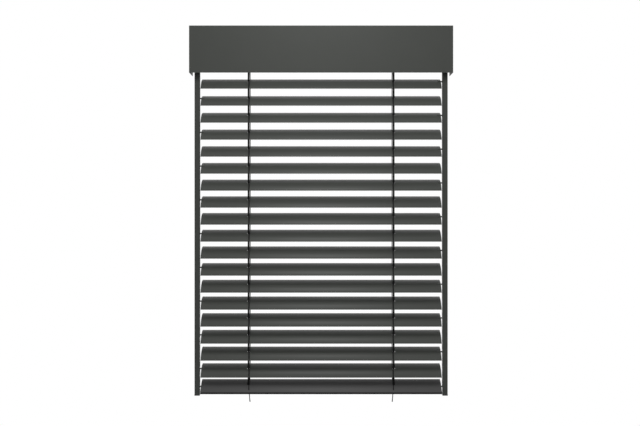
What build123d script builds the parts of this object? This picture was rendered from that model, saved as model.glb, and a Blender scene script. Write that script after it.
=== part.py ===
from build123d import *
from math import asin, cos, degrees, hypot, radians, sin, sqrt, tan
import os

# Exterior venetian blind, lowered, with its slats half open. Lengths are in millimetres.
# X runs along the slats, +Y points into the wall and +Z points up.
# The origin is on the wall, in the middle of the four head fixings.

# Slats: a curved strip with a rolled bead along each edge, turning about a line along its crown
SLAT_COUNT = 18
SLAT_PITCH = 72.0
SLAT_LENGTH = 1021.5
SLAT_CHORD = 80.0
SLAT_RISE = 11.3
SLAT_SHEET = 0.5
BEAD_DIAMETER = 2.0
TILT = 36.4
FIRST_SLAT_DROP = 174.0
BOTTOM_RAIL_DROP = 76.0

# Guide pins: a round pin that runs in the rail, with a thinner journal in the slat's end socket
PIN_DIAMETER = 6.0
PIN_REACH = 10.0
PIN_TIP_CHAMFER = 0.8
JOURNAL_DIAMETER = 4.0
JOURNAL_LENGTH = 11.0
JOURNAL_CLEARANCE = 0.08
SOCKET_DIAMETER = 7.0
SOCKET_LENGTH = 12.0
PIN_END_GAP = 0.3

# Tapes and ladder cords
TAPE_X = 309.4
TAPE_WIDTH = 8.0
TAPE_THICKNESS = 0.4
TAPE_SLOT_LENGTH = 12.0
TAPE_SLOT_WIDTH = 5.0
LADDER_X = 305.9
LADDER_WIDTH = 2.2
LADDER_THICKNESS = 2.0
RUNG_THICKNESS = 1.2
RUNG_TAPE_GAP = 0.5
NOTCH_WIDTH = 4.6
NOTCH_DEPTH = 2.6
CORD_SEAT_GAP = 0.3

# Cord tails below the bottom rail: places along the route, towards the middle and down from the exit
TAIL_X = 306.5
TAIL_DIAMETER = 3.6
TAIL_ROUTE = [(0.0, 0.0), (0.2, -14.0), (0.8, -28.0), (1.8, -41.5), (3.2, -54.6)]
RUN_SHARE = 0.45

# Bottom rail: a hollow extrusion with flat sides and a crowned top, and moulded caps
BOTTOM_RAIL_WIDTH = 76.0
BOTTOM_RAIL_SIDE = 11.0
BOTTOM_RAIL_CROWN = 12.0
BOTTOM_RAIL_BELOW_PIN = 6.7
BOTTOM_RAIL_WALL = 1.5
BOTTOM_RAIL_ROUND = 1.2
BOTTOM_RAIL_SLOT_LENGTH = 10.0
BOTTOM_RAIL_SLOT_WIDTH = 23.0
CAP_THICKNESS = 3.0
CAP_PLUG_LENGTH = 12.0
CAP_PLUG_CLEARANCE = 0.2

# Guide rails: a box extrusion with a slot towards the slats, and a lining pressed between the slot's legs
RAIL_GAP = 6.0
RAIL_WIDTH = 21.75
RAIL_DEPTH = 22.0
RAIL_ROUND = 1.2
RAIL_WALL = 1.6
RAIL_LEG_DEPTH = 14.0
RAIL_BELOW_BOTTOM_RAIL = 37.0
LINING_WALL = 1.4
LINING_DEPTH = 13.0
PIN_CLEARANCE = 0.45

# Rail brackets: a folded strip from the back of the rail to the wall
RAIL_BRACKET_SHEET = 3.0
RAIL_BRACKET_HEIGHT = 40.0
RAIL_BRACKET_SETBACK = 2.5
RAIL_BRACKET_EDGE = 3.5
RAIL_BRACKET_FOOT = 14.0
RAIL_BRACKET_HOLE = 5.5
RAIL_BRACKET_DROP = 243.0
RAIL_BRACKET_RISE = 118.0

# Headrail: a rolled steel channel, open at the top between two lips
HEADRAIL_WIDTH = 57.0
HEADRAIL_HEIGHT = 51.0
HEADRAIL_SHEET = 1.2
HEADRAIL_LIP = 9.0
HEADRAIL_END_GAP = 8.5
HEADRAIL_ABOVE_FIXINGS = 34.0
OUTLET_LENGTH = 20.0
OUTLET_CLEARANCE = 1.0

# Headrail brackets: a plate on the wall, an arm over the headrail and two claws under its lips
BRACKET_X = 420.0
BRACKET_WIDTH = 40.0
BRACKET_SHEET = 3.0
BRACKET_NOSE = 22.0
BRACKET_FOOT = 11.0
BRACKET_HOLE = 8.5
BRACKET_HOLE_SPACING = 30.0
CLAW_THICKNESS = 2.5
CLAW_REACH = 6.0
CLAW_GAP = 0.5

# Cover panel: one folded sheet, closed by an end plate at each end
PANEL_HEIGHT = 199.0
PANEL_SHEET = 2.0
PANEL_BEND = 4.0
PANEL_SIDE_CLEARANCE = 15.5
END_PLATE_SHEET = 2.0
END_FLANGE = 12.0
END_FLANGE_SETBACK = 8.0
SWEEP_CLEARANCE = 2.0

# Drive: a motor in the middle of the headrail, a hexagon shaft to each side, and a drum on each shaft
SHAFT_ABOVE_FLOOR = 26.0
SHAFT_FLATS = 8.0
SHAFT_CLEARANCE = 0.08
SHAFT_OVERHANG = 6.0
MOTOR_LENGTH = 300.0
MOTOR_WIDTH = 50.0
MOTOR_HEIGHT = 44.0
MOTOR_ROUND = 5.0
MOTOR_BOSS_DIAMETER = 24.0
MOTOR_BOSS_LENGTH = 8.0
MOTOR_BORE_DEPTH = 14.0
SHAFT_SEAT = 12.0
INLET_WIDTH = 16.0
INLET_HEIGHT = 9.0
INLET_DEPTH = 12.0
DRUM_CORE_DIAMETER = 28.0
DRUM_RIM_DIAMETER = 36.0
DRUM_CORE_WIDTH = 8.8
TILT_RING_WIDTH = 2.6
DRUM_FLANGE_WIDTH = 2.0
HUB_DIAMETER = 14.0
HUB_CLEARANCE = 0.08
BEARING_SPAN = 28.0
BEARING_WALL = 5.0
BEARING_BASE = 3.0
BEARING_CHEEK = 14.0
BEARING_SIDE_CLEARANCE = 0.3
BEARING_OUTLET_LENGTH = 16.0

SIDES = {"left": -1, "right": 1}

# Slat section: chord along the local X, rise along the local Y, measured from the crown
HALF_CHORD = SLAT_CHORD / 2
SLAT_RADIUS = (HALF_CHORD**2 + SLAT_RISE**2) / (2 * SLAT_RISE)
SLAT_HALF_ANGLE = degrees(asin(HALF_CHORD / SLAT_RADIUS))
SLAT_REACH = hypot(HALF_CHORD, SLAT_RISE) + BEAD_DIAMETER / 2
SLAT_END = SLAT_LENGTH / 2
TILT_COS = cos(radians(TILT))
TILT_SIN = sin(radians(TILT))

# Places across the wall
PIN_Y = -(SLAT_REACH + SWEEP_CLEARANCE)
PANEL_BACK_Y = PIN_Y - SLAT_REACH - SWEEP_CLEARANCE
PANEL_FRONT_Y = PANEL_BACK_Y - PANEL_SHEET

# Places along the slats
RAIL_INNER = SLAT_END + RAIL_GAP
RAIL_OUTER = RAIL_INNER + RAIL_WIDTH
PLATE_INNER = RAIL_OUTER + PANEL_SIDE_CLEARANCE
HEADRAIL_END = RAIL_OUTER - HEADRAIL_END_GAP
PIN_LENGTH = RAIL_GAP - PIN_END_GAP + PIN_REACH

# Heights
HEADRAIL_TOP = HEADRAIL_ABOVE_FIXINGS
HEADRAIL_BOTTOM = HEADRAIL_TOP - HEADRAIL_HEIGHT
HEADRAIL_FLOOR = HEADRAIL_BOTTOM + HEADRAIL_SHEET
ARM_TOP = HEADRAIL_TOP + BRACKET_SHEET
PANEL_TOP = ARM_TOP + PANEL_SHEET
PANEL_BOTTOM = PANEL_TOP - PANEL_HEIGHT
SHAFT_Z = HEADRAIL_BOTTOM + SHAFT_ABOVE_FLOOR
FIRST_SLAT_Z = HEADRAIL_BOTTOM - FIRST_SLAT_DROP
LAST_SLAT_Z = FIRST_SLAT_Z - (SLAT_COUNT - 1) * SLAT_PITCH
BOTTOM_RAIL_Z = LAST_SLAT_Z - BOTTOM_RAIL_DROP
RAIL_BOTTOM_Z = BOTTOM_RAIL_Z - RAIL_BELOW_BOTTOM_RAIL

# Guide rail channel
CHANNEL_WIDTH = PIN_DIAMETER + 2 * PIN_CLEARANCE
LINING_WIDTH = CHANNEL_WIDTH + 2 * LINING_WALL

# Drum places
DRUM_X = TAPE_X
RIM_RADIUS = DRUM_RIM_DIAMETER / 2
CORE_RADIUS = DRUM_CORE_DIAMETER / 2
SHAFT_CORNERS = SHAFT_FLATS / cos(radians(30))


def tilted(chord, rise):
    """How far a point of a slat's section stands behind and above its pin at rest."""
    return chord * TILT_COS - rise * TILT_SIN, chord * TILT_SIN + rise * TILT_COS


# Ladder cord legs: along the slats' edges, then over to the sides of the drum's tilt ring
FRONT_EDGE_Y, FRONT_EDGE_Z = tilted(-HALF_CHORD, -SLAT_RISE)
BACK_EDGE_Y, BACK_EDGE_Z = tilted(HALF_CHORD, -SLAT_RISE)
FRONT_LEG_Y = FRONT_EDGE_Y - LADDER_THICKNESS / 2
BACK_LEG_Y = BACK_EDGE_Y + LADDER_THICKNESS / 2
LEAD_Y = RIM_RADIUS + CORD_SEAT_GAP + LADDER_THICKNESS / 2
LEAD_START_Z = FIRST_SLAT_Z + BACK_EDGE_Z + LADDER_THICKNESS
OUTLET_SHARE = (SHAFT_Z - HEADRAIL_BOTTOM) / (SHAFT_Z - LEAD_START_Z)
OUTLET_LEG_Y = LEAD_Y + (BACK_LEG_Y - LEAD_Y) * OUTLET_SHARE
OUTLET_WIDTH = 2 * (OUTLET_LEG_Y + LADDER_THICKNESS / 2 + OUTLET_CLEARANCE)


def section_plane(z):
    """The plane of a tilted section through the pin axis at height z: chord, rise, along X."""
    return Plane(origin=(0, PIN_Y, z), x_dir=(0, TILT_COS, TILT_SIN), z_dir=(1, 0, 0))


def top_plane(z):
    """The plane that looks down on a tilted slat or rail at height z: along X, chord, rise."""
    return Plane(origin=(0, PIN_Y, z), x_dir=(1, 0, 0), z_dir=(0, -TILT_SIN, TILT_COS))


def save(part, name):
    """Labels a finished piece and writes it."""
    part.label = name
    export_step(part, f"parts/{name}.step")


def make_slat(z, pin_side):
    """A slat with its rolled edges, tape slots, cord notches and the pin's socket at one end."""
    with BuildPart() as slat:
        with BuildSketch(section_plane(z)):
            with BuildLine():
                middle = (0, -SLAT_RADIUS)
                start = 90 - SLAT_HALF_ANGLE
                upper = CenterArc(middle, SLAT_RADIUS + SLAT_SHEET / 2, start, 2 * SLAT_HALF_ANGLE)
                lower = CenterArc(middle, SLAT_RADIUS - SLAT_SHEET / 2, start, 2 * SLAT_HALF_ANGLE)
                Line(upper @ 0, lower @ 0)
                Line(upper @ 1, lower @ 1)
            make_face()
            with Locations((-HALF_CHORD, -SLAT_RISE), (HALF_CHORD, -SLAT_RISE)):
                Circle(BEAD_DIAMETER / 2)
        extrude(amount=SLAT_END, both=True)
        with BuildSketch(section_plane(z).offset(pin_side * SLAT_END)):
            Circle(SOCKET_DIAMETER / 2)
        extrude(amount=-pin_side * SOCKET_LENGTH)
        with BuildSketch(section_plane(z).offset(pin_side * SLAT_END)):
            Circle(JOURNAL_DIAMETER / 2 + JOURNAL_CLEARANCE)
        extrude(amount=-pin_side * SOCKET_LENGTH, mode=Mode.SUBTRACT)
        with BuildSketch(top_plane(z)):
            with Locations((-TAPE_X, 0), (TAPE_X, 0)):
                SlotOverall(TAPE_SLOT_LENGTH, TAPE_SLOT_WIDTH)
            with GridLocations(2 * LADDER_X, SLAT_CHORD, 2, 2):
                Rectangle(NOTCH_WIDTH, 2 * NOTCH_DEPTH)
        extrude(amount=SLAT_CHORD, both=True, mode=Mode.SUBTRACT)
    return slat.part


def make_pin(z, side):
    """A guide pin: the pin in the rail and its journal in the slat or cap."""
    shoulder = section_plane(z).offset(side * (SLAT_END + PIN_END_GAP))
    with BuildPart() as pin:
        with BuildSketch(shoulder):
            Circle(PIN_DIAMETER / 2)
        extrude(amount=side * PIN_LENGTH)
        tip = pin.faces().sort_by(Axis.X)[-1 if side > 0 else 0]
        chamfer(tip.edges(), PIN_TIP_CHAMFER)
        with BuildSketch(shoulder):
            Circle(JOURNAL_DIAMETER / 2)
        extrude(amount=-side * JOURNAL_LENGTH)
    return pin.part


def bottom_rail_outline(inset):
    """The bottom rail's section, shrunk by an inset."""
    half = BOTTOM_RAIL_WIDTH / 2 - inset
    low = inset - BOTTOM_RAIL_BELOW_PIN
    shoulder = BOTTOM_RAIL_SIDE - BOTTOM_RAIL_BELOW_PIN - inset
    with BuildSketch() as outline:
        with BuildLine():
            ThreePointArc((-half, shoulder), (0, BOTTOM_RAIL_CROWN - inset), (half, shoulder))
            Polyline((half, shoulder), (half, low), (-half, low), (-half, shoulder))
        make_face()
        fillet(outline.vertices(), BOTTOM_RAIL_ROUND)
    return outline.sketch


def bottom_rail_top(y):
    """The height of the bottom rail's crowned top above its pin, on a line y behind the pin."""
    half = BOTTOM_RAIL_WIDTH / 2
    sag = BOTTOM_RAIL_CROWN - (BOTTOM_RAIL_SIDE - BOTTOM_RAIL_BELOW_PIN)
    radius = (half**2 + sag**2) / (2 * sag)
    middle_y, middle_z = tilted(0, BOTTOM_RAIL_CROWN - radius)
    return middle_z + sqrt(radius**2 - (y - middle_y) ** 2)


def strip(points, thickness):
    """An upright strip, given by points up its middle and its thickness across."""
    front = [(y - thickness / 2, z) for y, z in points]
    back = [(y + thickness / 2, z) for y, z in points]
    with BuildSketch() as outline:
        with BuildLine():
            Polyline(*front, *reversed(back), close=True)
        make_face()
    return outline.sketch


def make_ladder(side):
    """A ladder cord: a leg along each edge of the slats, and under every slat a rung that passes beside the tape."""
    foot_y = tilted(BOTTOM_RAIL_WIDTH / 2 - BOTTOM_RAIL_SIDE, 0)[0]
    front_top = bottom_rail_top(FRONT_EDGE_Y) + CORD_SEAT_GAP
    back_top = bottom_rail_top(foot_y + LADDER_THICKNESS / 2) + CORD_SEAT_GAP
    front_leg = [
        (PIN_Y + FRONT_LEG_Y, BOTTOM_RAIL_Z + front_top),
        (PIN_Y + FRONT_LEG_Y, FIRST_SLAT_Z),
        (PIN_Y - LEAD_Y, SHAFT_Z),
    ]
    back_leg = [
        (PIN_Y + foot_y, BOTTOM_RAIL_Z + back_top),
        (PIN_Y + BACK_LEG_Y, LAST_SLAT_Z + BACK_EDGE_Z - LADDER_THICKNESS),
        (PIN_Y + BACK_LEG_Y, LEAD_START_Z),
        (PIN_Y + LEAD_Y, SHAFT_Z),
    ]
    leg_outer = LADDER_X + LADDER_WIDTH / 2
    rung_outer = TAPE_X - TAPE_WIDTH / 2 - RUNG_TAPE_GAP
    rung_inner = rung_outer - RUNG_THICKNESS
    with BuildPart() as ladder:
        with BuildSketch(Plane.YZ.offset(side * LADDER_X)):
            add(strip(front_leg, LADDER_THICKNESS))
            add(strip(back_leg, LADDER_THICKNESS))
        extrude(amount=LADDER_WIDTH / 2, both=True)
        for i in range(SLAT_COUNT):
            with BuildSketch(top_plane(FIRST_SLAT_Z - i * SLAT_PITCH).offset(-SLAT_RISE)):
                with Locations((side * (rung_inner + leg_outer) / 2, 0)):
                    Rectangle(leg_outer - rung_inner, SLAT_CHORD + LADDER_THICKNESS)
                with Locations((side * (rung_outer + leg_outer) / 2, 0)):
                    Rectangle(leg_outer - rung_outer, SLAT_CHORD - 2 * RUNG_THICKNESS, mode=Mode.SUBTRACT)
            extrude(amount=RUNG_THICKNESS / 2, both=True)
    return ladder.part


def make_tape(x):
    """A lift tape: up from inside the bottom rail through every slat, then over to its drum."""
    inside = (BOTTOM_RAIL_BELOW_PIN - BOTTOM_RAIL_WALL) / TILT_COS
    lead_y = CORE_RADIUS + CORD_SEAT_GAP + TAPE_THICKNESS / 2
    route = [
        (PIN_Y, BOTTOM_RAIL_Z - inside + CORD_SEAT_GAP + TAPE_THICKNESS),
        (PIN_Y, FIRST_SLAT_Z + SLAT_RISE),
        (PIN_Y + lead_y, SHAFT_Z),
    ]
    with BuildPart() as tape:
        with BuildSketch(Plane.YZ.offset(x)):
            add(strip(route, TAPE_THICKNESS))
        extrude(amount=TAPE_WIDTH / 2, both=True)
    return tape.part


def make_tail(side):
    """The free end of a ladder cord, hanging below the bottom rail."""
    exit_z = BOTTOM_RAIL_Z - BOTTOM_RAIL_BELOW_PIN / TILT_COS
    exit_z -= TAIL_DIAMETER / 2 * tan(radians(TILT)) + CORD_SEAT_GAP
    route = [Vector(side * (TAIL_X - inward), PIN_Y, exit_z + drop) for inward, drop in TAIL_ROUTE]
    radii = []
    for before, here, after in zip(route, route[1:], route[2:]):
        turn = (here - before).get_angle(after - here)
        run = min((here - before).length, (after - here).length)
        radii.append(RUN_SHARE * run / tan(radians(turn / 2)))
    print("cord tail radii", [round(radius) for radius in radii])
    with BuildPart() as tail:
        with BuildLine() as line:
            FilletPolyline(*route, radius=radii)
        path = line.wire()
        with BuildSketch(Plane(origin=path @ 0, z_dir=path % 0)):
            Circle(TAIL_DIAMETER / 2)
        sweep(path=path)
    print("cord tail volume share", round(tail.part.volume / (path.length * tail_section()), 4))
    return tail.part


def tail_section():
    """The area of a cord tail's section."""
    with BuildSketch() as section:
        Circle(TAIL_DIAMETER / 2)
    return section.sketch.area


def make_rail(side):
    """A guide rail: a box with a slot towards the slats, and a leg along each side of the slot."""
    with BuildPart() as rail:
        with BuildSketch(Plane.XY.offset(RAIL_BOTTOM_Z)):
            with Locations((side * (RAIL_INNER + RAIL_WIDTH / 2), PIN_Y)):
                RectangleRounded(RAIL_WIDTH, RAIL_DEPTH, RAIL_ROUND)
                Rectangle(RAIL_WIDTH - 2 * RAIL_WALL, RAIL_DEPTH - 2 * RAIL_WALL, mode=Mode.SUBTRACT)
            with Locations((side * (RAIL_INNER + RAIL_LEG_DEPTH / 2), PIN_Y)):
                Rectangle(RAIL_LEG_DEPTH, LINING_WIDTH + 2 * RAIL_WALL)
            with Locations((side * RAIL_INNER, PIN_Y)):
                Rectangle(2 * RAIL_LEG_DEPTH, LINING_WIDTH, mode=Mode.SUBTRACT)
        extrude(amount=HEADRAIL_BOTTOM - RAIL_BOTTOM_Z)
    return rail.part


def make_lining(side):
    """The plastic channel between the slot's legs, in which the pins run."""
    with BuildPart() as lining:
        with BuildSketch(Plane.XY.offset(RAIL_BOTTOM_Z)):
            with Locations((side * (RAIL_INNER + LINING_DEPTH / 2), PIN_Y)):
                Rectangle(LINING_DEPTH, LINING_WIDTH)
            with Locations((side * RAIL_INNER, PIN_Y)):
                Rectangle(2 * (LINING_DEPTH - LINING_WALL), CHANNEL_WIDTH, mode=Mode.SUBTRACT)
        extrude(amount=HEADRAIL_BOTTOM - RAIL_BOTTOM_Z)
    return lining.part


def make_end_plate(side):
    """An end plate with the panel's outline, and a flange along its front and its top."""
    inner_top = PANEL_TOP - PANEL_SHEET
    front_flange_top = inner_top - END_FLANGE_SETBACK
    top_flange_front = PANEL_BACK_Y + END_FLANGE_SETBACK
    with BuildPart() as plate:
        with BuildSketch(Plane.YZ.offset(side * PLATE_INNER)):
            with BuildLine():
                Polyline(
                    (0, PANEL_BOTTOM),
                    (PANEL_FRONT_Y, PANEL_BOTTOM),
                    (PANEL_FRONT_Y, PANEL_TOP),
                    (0, PANEL_TOP),
                    close=True,
                )
            outline = make_face()
            fillet(outline.vertices().sort_by_distance((PANEL_FRONT_Y, PANEL_TOP))[0], PANEL_BEND)
        extrude(amount=side * END_PLATE_SHEET)
        with BuildSketch(Plane.YZ.offset(side * PLATE_INNER)):
            with Locations((PANEL_BACK_Y + END_PLATE_SHEET / 2, (PANEL_BOTTOM + front_flange_top) / 2)):
                Rectangle(END_PLATE_SHEET, front_flange_top - PANEL_BOTTOM)
            with Locations((top_flange_front / 2, inner_top - END_PLATE_SHEET / 2)):
                Rectangle(-top_flange_front, END_PLATE_SHEET)
        extrude(amount=-side * END_FLANGE)
    return plate.part


def make_drum(side):
    """A winding drum: the tilt ring for the ladder cord, the core for the tape, and a hub each way."""
    core_start = TAPE_X - DRUM_CORE_WIDTH / 2
    ring_x = core_start - TILT_RING_WIDTH
    core_end = TAPE_X + DRUM_CORE_WIDTH / 2
    hub_end = BEARING_SPAN / 2 + BEARING_WALL
    with BuildPart() as drum:
        with BuildSketch(Plane.XY.offset(SHAFT_Z)):
            with BuildLine():
                outline = [
                    (DRUM_X - hub_end, 0),
                    (DRUM_X - hub_end, HUB_DIAMETER / 2),
                    (ring_x, HUB_DIAMETER / 2),
                    (ring_x, RIM_RADIUS),
                    (core_start, RIM_RADIUS),
                    (core_start, CORE_RADIUS),
                    (core_end, CORE_RADIUS),
                    (core_end, RIM_RADIUS),
                    (core_end + DRUM_FLANGE_WIDTH, RIM_RADIUS),
                    (core_end + DRUM_FLANGE_WIDTH, HUB_DIAMETER / 2),
                    (DRUM_X + hub_end, HUB_DIAMETER / 2),
                    (DRUM_X + hub_end, 0),
                ]
                Polyline(*[(side * x, PIN_Y + radius) for x, radius in outline], close=True)
            make_face()
        revolve(axis=Axis((0, PIN_Y, SHAFT_Z), (1, 0, 0)))
        with BuildSketch(Plane.YZ.offset(side * DRUM_X)):
            with Locations((PIN_Y, SHAFT_Z)):
                RegularPolygon(SHAFT_CORNERS / 2, 6)
        extrude(amount=hub_end, both=True, mode=Mode.SUBTRACT)
    return drum.part


os.makedirs("parts", exist_ok=True)

# Slats and their guide pins, from the top down, with the pins on alternate ends
for number in range(1, SLAT_COUNT + 1):
    height = FIRST_SLAT_Z - (number - 1) * SLAT_PITCH
    pin_end = 1 if number % 2 else -1
    save(make_slat(height, pin_end), f"slat_{number:02d}")
    save(make_pin(height, pin_end), f"guide_pin_{number:02d}")

# Bottom rail, its caps and its pins
with BuildPart() as bottom_rail:
    with BuildSketch(section_plane(BOTTOM_RAIL_Z)):
        add(bottom_rail_outline(0))
    extrude(amount=SLAT_END - CAP_THICKNESS, both=True)
    with BuildSketch(section_plane(BOTTOM_RAIL_Z)):
        add(bottom_rail_outline(BOTTOM_RAIL_WALL))
    extrude(amount=SLAT_END - CAP_THICKNESS, both=True, mode=Mode.SUBTRACT)
    with BuildSketch(top_plane(BOTTOM_RAIL_Z)):
        slot_middle = BOTTOM_RAIL_CROWN * tan(radians(TILT))
        with Locations((-TAPE_X, slot_middle), (TAPE_X, slot_middle)):
            Rectangle(BOTTOM_RAIL_SLOT_LENGTH, BOTTOM_RAIL_SLOT_WIDTH)
    extrude(amount=BOTTOM_RAIL_WIDTH, mode=Mode.SUBTRACT)
save(bottom_rail.part, "bottom_rail")

with BuildPart() as bottom_rail_caps:
    for side in SIDES.values():
        cap_plane = section_plane(BOTTOM_RAIL_Z).offset(side * (SLAT_END - CAP_THICKNESS))
        with BuildSketch(cap_plane):
            add(bottom_rail_outline(0))
        extrude(amount=side * CAP_THICKNESS)
        with BuildSketch(cap_plane):
            add(bottom_rail_outline(BOTTOM_RAIL_WALL + CAP_PLUG_CLEARANCE))
        extrude(amount=-side * CAP_PLUG_LENGTH)
        with BuildSketch(section_plane(BOTTOM_RAIL_Z).offset(side * SLAT_END)):
            Circle(JOURNAL_DIAMETER / 2 + JOURNAL_CLEARANCE)
        extrude(amount=-side * SOCKET_LENGTH, mode=Mode.SUBTRACT)
save(bottom_rail_caps.part, "bottom_rail_caps")

with BuildPart() as bottom_rail_pins:
    for side in SIDES.values():
        add(make_pin(BOTTOM_RAIL_Z, side))
save(bottom_rail_pins.part, "bottom_rail_pins")

# Cords, guide rails, end plates and drums, one of each to a side
for side_name, side in SIDES.items():
    save(make_ladder(side), f"ladder_cord_{side_name}")
    save(make_tape(side * TAPE_X), f"lift_tape_{side_name}")
    save(make_tail(side), f"cord_tail_{side_name}")
    save(make_rail(side), f"guide_rail_{side_name}")
    save(make_lining(side), f"rail_lining_{side_name}")
    save(make_end_plate(side), f"end_plate_{side_name}")
    save(make_drum(side), f"winding_drum_{side_name}")

# Rail brackets, two to a rail
with BuildPart() as rail_brackets:
    rail_back_y = PIN_Y + RAIL_DEPTH / 2
    web_outer = RAIL_OUTER - RAIL_BRACKET_EDGE
    flange_inner = RAIL_INNER + RAIL_BRACKET_SETBACK
    flange_middle = (flange_inner + web_outer) / 2
    web_middle = web_outer - RAIL_BRACKET_SHEET / 2
    foot_middle = web_outer - RAIL_BRACKET_SHEET + RAIL_BRACKET_FOOT / 2
    hole_x = (web_outer + web_outer - RAIL_BRACKET_SHEET + RAIL_BRACKET_FOOT) / 2
    for bracket_z in (HEADRAIL_BOTTOM - RAIL_BRACKET_DROP, RAIL_BOTTOM_Z + RAIL_BRACKET_RISE):
        with BuildSketch(Plane.XY.offset(bracket_z - RAIL_BRACKET_HEIGHT / 2)):
            for side in SIDES.values():
                with Locations((side * flange_middle, rail_back_y + RAIL_BRACKET_SHEET / 2)):
                    Rectangle(web_outer - flange_inner, RAIL_BRACKET_SHEET)
                with Locations((side * web_middle, rail_back_y / 2)):
                    Rectangle(RAIL_BRACKET_SHEET, -rail_back_y)
                with Locations((side * foot_middle, -RAIL_BRACKET_SHEET / 2)):
                    Rectangle(RAIL_BRACKET_FOOT, RAIL_BRACKET_SHEET)
        extrude(amount=RAIL_BRACKET_HEIGHT)
        with BuildSketch(Plane.XZ):
            with Locations((-hole_x, bracket_z), (hole_x, bracket_z)):
                Circle(RAIL_BRACKET_HOLE / 2)
        extrude(amount=RAIL_BRACKET_SHEET, mode=Mode.SUBTRACT)
save(rail_brackets.part, "rail_brackets")

# Headrail
with BuildPart() as headrail:
    with BuildSketch(Plane.YZ):
        with Locations((PIN_Y, (HEADRAIL_TOP + HEADRAIL_BOTTOM) / 2)):
            Rectangle(HEADRAIL_WIDTH, HEADRAIL_HEIGHT)
            Rectangle(
                HEADRAIL_WIDTH - 2 * HEADRAIL_SHEET,
                HEADRAIL_HEIGHT - 2 * HEADRAIL_SHEET,
                mode=Mode.SUBTRACT,
            )
        with Locations((PIN_Y, HEADRAIL_TOP)):
            Rectangle(HEADRAIL_WIDTH - 2 * HEADRAIL_LIP, 2 * HEADRAIL_SHEET, mode=Mode.SUBTRACT)
    extrude(amount=HEADRAIL_END, both=True)
    with BuildSketch(Plane.XY.offset(HEADRAIL_BOTTOM)):
        with Locations((-DRUM_X, PIN_Y), (DRUM_X, PIN_Y)):
            Rectangle(OUTLET_LENGTH, OUTLET_WIDTH)
    extrude(amount=HEADRAIL_SHEET, mode=Mode.SUBTRACT)
save(headrail.part, "headrail")

# Headrail brackets
with BuildPart() as headrail_brackets:
    opening = HEADRAIL_WIDTH / 2 - HEADRAIL_LIP
    lip_under = HEADRAIL_TOP - HEADRAIL_SHEET
    plate_low = -BRACKET_HOLE_SPACING / 2 - BRACKET_FOOT
    claw_middle = opening - CLAW_GAP - CLAW_THICKNESS / 2
    claw_height = HEADRAIL_SHEET + CLAW_THICKNESS
    toe_middle = opening - CLAW_GAP + CLAW_REACH / 2
    for side in SIDES.values():
        with BuildSketch(Plane.YZ.offset(side * BRACKET_X)):
            with Locations((-BRACKET_SHEET / 2, (plate_low + ARM_TOP) / 2)):
                Rectangle(BRACKET_SHEET, ARM_TOP - plate_low)
            with Locations((PANEL_BACK_Y / 2, ARM_TOP - BRACKET_SHEET / 2)):
                Rectangle(-PANEL_BACK_Y, BRACKET_SHEET)
            with Locations((PANEL_BACK_Y + BRACKET_SHEET / 2, ARM_TOP - BRACKET_NOSE / 2)):
                Rectangle(BRACKET_SHEET, BRACKET_NOSE)
            for lip_side in SIDES.values():
                with Locations((PIN_Y + lip_side * claw_middle, HEADRAIL_TOP - claw_height / 2)):
                    Rectangle(CLAW_THICKNESS, claw_height)
                with Locations((PIN_Y + lip_side * toe_middle, lip_under - CLAW_THICKNESS / 2)):
                    Rectangle(CLAW_REACH, CLAW_THICKNESS)
        extrude(amount=BRACKET_WIDTH / 2, both=True)
        with BuildSketch(Plane.XZ):
            with Locations((side * BRACKET_X, 0)):
                with GridLocations(0, BRACKET_HOLE_SPACING, 1, 2):
                    Circle(BRACKET_HOLE / 2)
        extrude(amount=BRACKET_SHEET, mode=Mode.SUBTRACT)
save(headrail_brackets.part, "headrail_brackets")

# Cover panel: the front and the top, folded from one sheet
with BuildPart() as cover_panel:
    with BuildSketch(Plane.YZ):
        with BuildLine():
            Polyline(
                (PANEL_FRONT_Y, PANEL_BOTTOM),
                (PANEL_FRONT_Y, PANEL_TOP),
                (0, PANEL_TOP),
                (0, PANEL_TOP - PANEL_SHEET),
                (PANEL_BACK_Y, PANEL_TOP - PANEL_SHEET),
                (PANEL_BACK_Y, PANEL_BOTTOM),
                close=True,
            )
        fold = make_face()
        fillet(fold.vertices().sort_by_distance((PANEL_FRONT_Y, PANEL_TOP))[0], PANEL_BEND)
    extrude(amount=PLATE_INNER, both=True)
save(cover_panel.part, "cover_panel")

# Drive motor, with its shaft bores and the inlet for its lead
with BuildPart() as drive_motor:
    with BuildSketch(Plane.YZ):
        with Locations((PIN_Y, HEADRAIL_FLOOR + MOTOR_HEIGHT / 2)):
            RectangleRounded(MOTOR_WIDTH, MOTOR_HEIGHT, MOTOR_ROUND)
    extrude(amount=MOTOR_LENGTH / 2, both=True)
    with BuildSketch(Plane.YZ):
        with Locations((PIN_Y, SHAFT_Z)):
            Circle(MOTOR_BOSS_DIAMETER / 2)
    extrude(amount=MOTOR_LENGTH / 2 + MOTOR_BOSS_LENGTH, both=True)
    for side in SIDES.values():
        with BuildSketch(Plane.YZ.offset(side * (MOTOR_LENGTH / 2 + MOTOR_BOSS_LENGTH))):
            with Locations((PIN_Y, SHAFT_Z)):
                Circle(SHAFT_CORNERS / 2 + SHAFT_CLEARANCE)
        extrude(amount=-side * MOTOR_BORE_DEPTH, mode=Mode.SUBTRACT)
    with BuildSketch(Plane.YZ.offset(MOTOR_LENGTH / 2)):
        with Locations((PIN_Y, HEADRAIL_FLOOR + INLET_HEIGHT)):
            Rectangle(INLET_WIDTH, INLET_HEIGHT)
    extrude(amount=-INLET_DEPTH, mode=Mode.SUBTRACT)
save(drive_motor.part, "drive_motor")

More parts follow.
